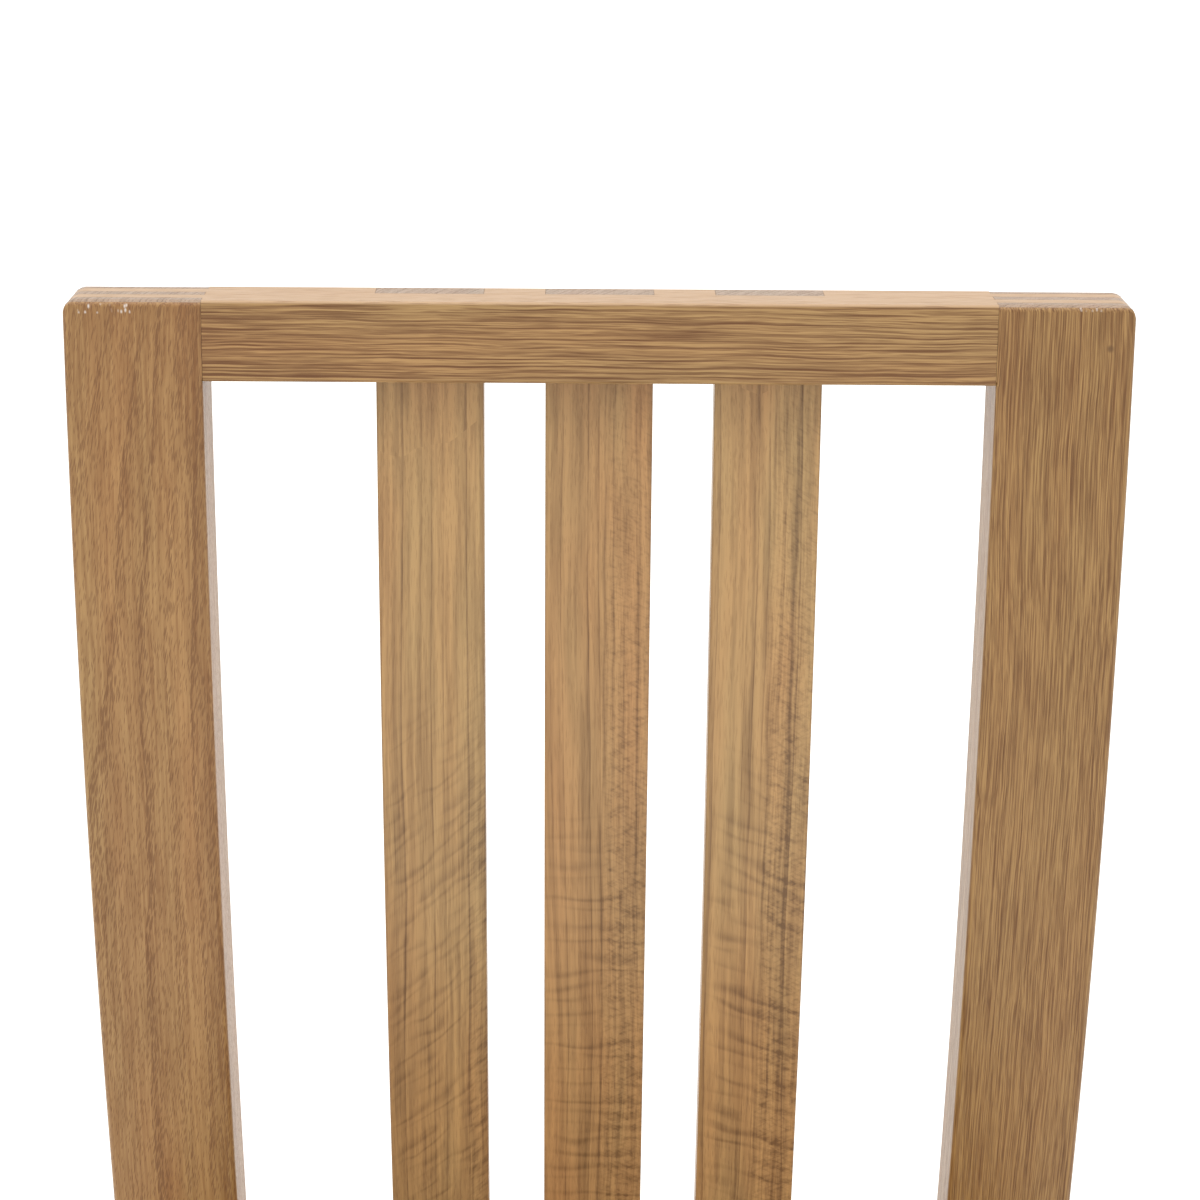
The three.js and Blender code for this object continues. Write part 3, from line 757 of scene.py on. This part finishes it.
for place, centre in slat_centres.items():
    slat_grid = [
        [centre - slat_width / 2, centre + slat_width / 2],
        [slat_depths[0], tenon_depths[0], tenon_depths[1], slat_depths[1]],
        spread([0, slat_end] + stations(slat_top, slat_bottom)),
    ]
    slat = carve(f"back_slat_{place}_oak", slat_grid, on_bend, slat_gone, slat_rounding, grain_axis=2)
    finish(slat, f"back_slat_{place}", "pale_oak", sawn_wood(
        f"satin_quarter_sawn_oak_{place}", f"back_slat_{place}", lean=8, ring=5.4, early=0.2,
        lines=0.36, streaks=0.5, thread=(2.1, 6, 90), pores=0.2, sway=9, tint=0.45, level=0.22,
        years=0.3, **slat_looks[place],
    ), end_grain_with_painted_sheen)

# Seat rails. Four straight oak bars under the seat, each tenoned into two legs. The seat lies on their
# top edge, which is eased like their other long edges.
front_tenon = 18 * MM
seat_rail_eased = 1.5 * MM
rail_hearts = {
    "front": (-80, 40, 700), "rear": (-95, -30, 0), "left": (-60, 85, 400), "right": (70, 85, 900),
}


def straight(x, y, z):
    """A place in a straight piece, whose grid lines are already places in the chair."""
    return Vector((x, y, z))


for side, along, tenons in (
    ("front", 0, (front_tenon, front_tenon)),
    ("rear", 0, (rear_tenon, rear_tenon)),
    ("left", 1, (front_tenon, rear_tenon)),
    ("right", 1, (front_tenon, rear_tenon)),
):
    low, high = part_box(f"seat_rail_{side}")
    grid = [[a, a + tenon_shoulder, b - tenon_shoulder, b] for a, b in zip(low, high)]
    body = (low[along] + tenons[0] + glue_line, high[along] - tenons[1] - glue_line)
    grid[along] = [low[along], *body, high[along]]

    def bar_gone(*middle):
        in_tenon = all(
            grid[axis][1] < middle[axis] < grid[axis][2] for axis in range(3) if axis != along
        )
        return not body[0] < middle[along] < body[1] and not in_tenon

    def bar_rounding(way, middle):
        on_edge = all(
            near(middle[axis], low[axis], high[axis]) for axis in range(3) if axis != along
        )
        return seat_rail_eased if way == along and on_edge else 0

    bar = carve(f"seat_rail_{side}_oak", grid, straight, bar_gone, bar_rounding, grain_axis=along)
    finish(bar, f"seat_rail_{side}", "oak", sawn_wood(
        f"satin_lacquered_oak_{side}_rail", f"seat_rail_{side}", rail_hearts[side],
        grain="xy"[along], ring=3.2,
    ), end_grain)

# Front legs. Square oak posts with mortises for the front rail and a side rail. The seat covers
# their tops.
front_hearts = {"left": (-70, 60, 300), "right": (75, 50, 800)}
front_low, front_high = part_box("seat_rail_front")
front_tenon_y = (front_low[1] + tenon_shoulder, front_high[1] - tenon_shoulder)
seat_tenon_z = (rail_low[2] + tenon_shoulder, rail_high[2] - tenon_shoulder)
for side, sign in (("left", -1), ("right", 1)):
    low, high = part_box(f"front_leg_{side}")
    inner = min(abs(low[0]), abs(high[0]))
    grid = [
        sorted(sign * x for x in spread([inner, inner + front_tenon, *side_tenon_x, leg_outer])),
        spread([low[1], *front_tenon_y, high[1] - front_tenon, high[1]]),
        spread([low[2], *seat_tenon_z, high[2]]),
    ]

    def post_gone(x, y, z):
        if not seat_tenon_z[0] < z < seat_tenon_z[1]:
            return False
        in_front = front_tenon_y[0] < y < front_tenon_y[1] and abs(x) < inner + front_tenon
        in_side = side_tenon_x[0] < abs(x) < side_tenon_x[1] and y > high[1] - front_tenon
        return in_front or in_side

    def post_rounding(way, middle):
        outside = [near(middle[axis], low[axis], high[axis]) for axis in range(3)]
        if way == 2:
            return leg_eased if outside[0] and outside[1] else 0
        return leg_eased if near(middle[2], low[2]) and (outside[0] or outside[1]) else 0

    post = carve(f"front_leg_{side}_oak", grid, straight, post_gone, post_rounding, grain_axis=2)
    finish(post, f"front_leg_{side}", "oak", sawn_wood(
        f"satin_lacquered_oak_front_leg_{side}", f"front_leg_{side}", front_hearts[side], ring=2.8,
    ), end_grain)

# Seat. Four wide oak boards glued edge to edge with the grain across the chair, rounded over in
# front, and notched at the back round the rear legs. Each board comes from another part of a log
# and has its own tone.
nose_radius = 8 * MM
seat_eased = 2.5 * MM
seat_hearts = [(30, 40, 0), (26, -70, 600), (34, 15, 1200), (28, 60, 1900)]
seat_tones = [0.22, 0.36, 0.26, 0.4]
board_gap = 0.3 * MM
notch_front = leg_front - board_gap
notch_inner = leg_inner - board_gap
for index, (heart, tone) in enumerate(zip(seat_hearts, seat_tones), 1):
    low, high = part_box(f"seat_board_{index}")
    front_edge = low[1] if index == 1 else low[1] - board_gap + glue_line
    is_last = index == len(seat_hearts)
    inside = notch_front if is_last else (front_edge + high[1]) / 2
    grid = [
        [low[0], -notch_inner, notch_inner, high[0]],
        [front_edge, inside, high[1]],
        [low[2], high[2]],
    ]

    def board_gone(x, y, z):
        return is_last and y > notch_front and abs(x) > notch_inner

    def board_rounding(way, middle):
        x, y, z = middle
        if index == 1 and way == 0 and near(y, low[1]):
            return nose_radius if near(z, high[2]) else seat_eased
        if index == 1 and way == 2 and near(y, low[1]) and near(abs(x), high[0]):
            return seat_eased
        if way == 1 and near(abs(x), high[0]):
            return seat_eased
        return seat_eased if is_last and way == 0 and near(y, high[1]) else 0

    board = carve(f"seat_board_{index}_oak", grid, straight, board_gone, board_rounding, grain_axis=0)
    finish(board, f"seat_board_{index}", "oak", sawn_wood(
        f"satin_lacquered_oak_seat_{index}", f"seat_board_{index}", heart, grain="x",
        ring=4.5, streaks=0.7, sway=14, level=tone,
    ), end_grain)

# Corner blocks. Four triangular blocks of planed beech inside the corners of the seat frame, each
# with bores for three screws. Beech has no open pores, only fine short flecks.
planed_beech = sawn_wood(
    "planed_beech", "corner_block_front_left", (-90, 60, 200), ring=2.4, lines=0.15, streaks=0.25,
    thread=(0.8, 1.6, 30), light="#c3a077", dark="#9a7347", pore="#8a6238", pores=0.35,
    vessel=(0.6, 2.5), tint=0.3, level=0.2,
)
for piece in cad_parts:
    if piece.startswith("corner_block_"):
        bpy.data.objects[piece].material_slots[0].material = planed_beech

# Screws. Countersunk steel wood screws with cross recesses, plated with bright zinc. The plating
# is thin, so the marks of turning and rolling show through as an uneven gloss. They are drawn
# about a millimetre wide, coarser than real.
zinc = bpy.data.materials.new("bright_zinc_plated_steel")
zinc.use_nodes = True
zinc_shader = zinc.node_tree.nodes["Principled BSDF"]
zinc_marks_per_mm = 0.7
zinc_place = add(zinc.node_tree, "TexCoord", {}).outputs["Object"]
zinc_marks = add(zinc.node_tree, "TexNoise", {
    "Vector": zinc_place, "Scale": zinc_marks_per_mm / MM, "Detail": 2,
}).outputs[0]
zinc_gloss = add(zinc.node_tree, "MapRange", {
    "Value": zinc_marks, "To Min": 0.22, "To Max": 0.45,
}).outputs[0]
zinc_tone = add(zinc.node_tree, "Mix", {
    0: zinc_marks, 6: linear("#a9adb0"), 7: linear("#cfd1cf"),
}, data_type="RGBA").outputs[2]
zinc.node_tree.links.new(zinc_tone, zinc_shader.inputs["Base Color"])
zinc.node_tree.links.new(zinc_gloss, zinc_shader.inputs["Roughness"])
zinc_shader.inputs["Metallic"].default_value = 1
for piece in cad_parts:
    if piece.startswith("screw_"):
        bpy.data.objects[piece].material_slots[0].material = zinc

# Glides. Moulded brown nylon discs, each with a pin that is pressed into the foot of a leg. The
# mould is sand-blasted, which leaves a matt grain of about a third of a millimetre.
nylon = bpy.data.materials.new("moulded_brown_nylon")
nylon.use_nodes = True
nylon_shader = nylon.node_tree.nodes["Principled BSDF"]
nylon_grains_per_mm = 3
nylon_grain_depth = 0.05 * MM
nylon_place = add(nylon.node_tree, "TexCoord", {}).outputs["Object"]
nylon_grain = add(nylon.node_tree, "TexNoise", {
    "Vector": nylon_place, "Scale": nylon_grains_per_mm / MM, "Detail": 1,
}).outputs[0]
nylon_tone = add(nylon.node_tree, "Mix", {
    0: nylon_grain, 6: linear("#3d2f24"), 7: linear("#59483a"),
}, data_type="RGBA").outputs[2]
nylon_gloss = add(nylon.node_tree, "MapRange", {
    "Value": nylon_grain, "To Min": 0.45, "To Max": 0.7,
}).outputs[0]
nylon_relief = add(nylon.node_tree, "Bump", {
    "Height": nylon_grain, "Strength": 0.3, "Distance": nylon_grain_depth,
})
nylon.node_tree.links.new(nylon_tone, nylon_shader.inputs["Base Color"])
nylon.node_tree.links.new(nylon_gloss, nylon_shader.inputs["Roughness"])
nylon.node_tree.links.new(nylon_relief.outputs[0], nylon_shader.inputs["Normal"])
nylon_shader.inputs["IOR"].default_value = 1.53
glide_thickness = 4 * MM
glide_round = 1.5 * MM
glide_pin = 2.5 * MM
glide_rings = (0.4, 0.8)
glide_steps = 6
glide_crease = radians(40)
around = 48
for corner in ("front_left", "front_right", "rear_left", "rear_right"):
    low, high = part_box(f"glide_{corner}")
    centre_x, centre_y = (low[0] + high[0]) / 2, (low[1] + high[1]) / 2
    rim = (high[0] - low[0]) / 2
    outline = [(rim * share, 0) for share in glide_rings]
    for step in range(glide_steps + 1):
        turn = pi / 2 * step / glide_steps
        radius = rim - glide_round * (1 - sin(turn))
        outline.append((radius, low[2] + glide_round * (1 - cos(turn))))
    outline += [(rim, glide_thickness), (glide_pin, glide_thickness), (glide_pin, high[2])]
    points, faces = [], []
    for radius, height in outline:
        for step in range(around):
            turn = 2 * pi * step / around
            points.append((centre_x + radius * cos(turn), centre_y + radius * sin(turn), height))
    for ring in range(len(outline) - 1):
        for step in range(around):
            a, b = ring * around + step, ring * around + (step + 1) % around
            faces.append((a, b, b + around, a + around))
    faces.append(tuple(range(around))[::-1])
    faces.append(tuple(range(len(points) - around, len(points))))
    mesh = bpy.data.meshes.new(f"glide_{corner}_nylon")
    mesh.from_pydata(points, [], faces)
    mesh.set_sharp_from_angle(angle=glide_crease)
    disc = bpy.data.objects.new(f"glide_{corner}_nylon", mesh)
    bpy.context.collection.objects.link(disc)
    finish(disc, f"glide_{corner}", "nylon", nylon)

# Floor, light and camera. A pale seamless floor under a large soft light from above, with white
# surroundings that the lacquer mirrors at a glancing angle.
world = bpy.data.worlds.new("white_studio")
bpy.context.scene.world = world
world.use_nodes = True
world.node_tree.nodes["Background"].inputs["Color"].default_value = (1, 1, 1, 1)
world.node_tree.nodes["Background"].inputs["Strength"].default_value = 0.97
floor_mesh = bpy.data.meshes.new("studio_floor")
reach = 12
floor_corners = [(-reach, -reach, 0), (reach, -reach, 0), (reach, reach, 0), (-reach, reach, 0)]
floor_mesh.from_pydata(floor_corners, [], [(0, 1, 2, 3)])
floor = bpy.data.objects.new("studio_floor", floor_mesh)
bpy.context.collection.objects.link(floor)
floor_paint = bpy.data.materials.new("matt_white_paint")
floor_paint.use_nodes = True
floor_shader = floor_paint.node_tree.nodes["Principled BSDF"]
floor_shader.inputs["Base Color"].default_value = linear("#fdfdfc")
floor_shader.inputs["Roughness"].default_value = 0.9
floor_mesh.materials.append(floor_paint)

lamp = bpy.data.lights.new("overhead_softbox", "AREA")
lamp.shape = "RECTANGLE"
lamp.size = 5
lamp.size_y = 5
lamp.energy = 120
softbox_place = Vector((0, 1.2, 3.6))
softbox_target = Vector((0, 1.1, 0))
softbox = bpy.data.objects.new("overhead_softbox", lamp)
softbox.location = softbox_place
softbox.rotation_euler = (softbox_target - softbox_place).to_track_quat("-Z", "Y").to_euler()
bpy.context.collection.objects.link(softbox)

scene = bpy.context.scene
scene.view_settings.view_transform = "Standard"
lens = bpy.data.cameras.new("camera")
lens.sensor_width = 36
lens.lens = 97.6
lens.clip_end = 100
camera = bpy.data.objects.new("camera", lens)
camera.location = (-0.01125, -0.98412, 1.61995)
camera.rotation_euler = Euler((radians(57.781), radians(-0.518), radians(-0.261)), "XYZ")
bpy.context.collection.objects.link(camera)
scene.camera = camera
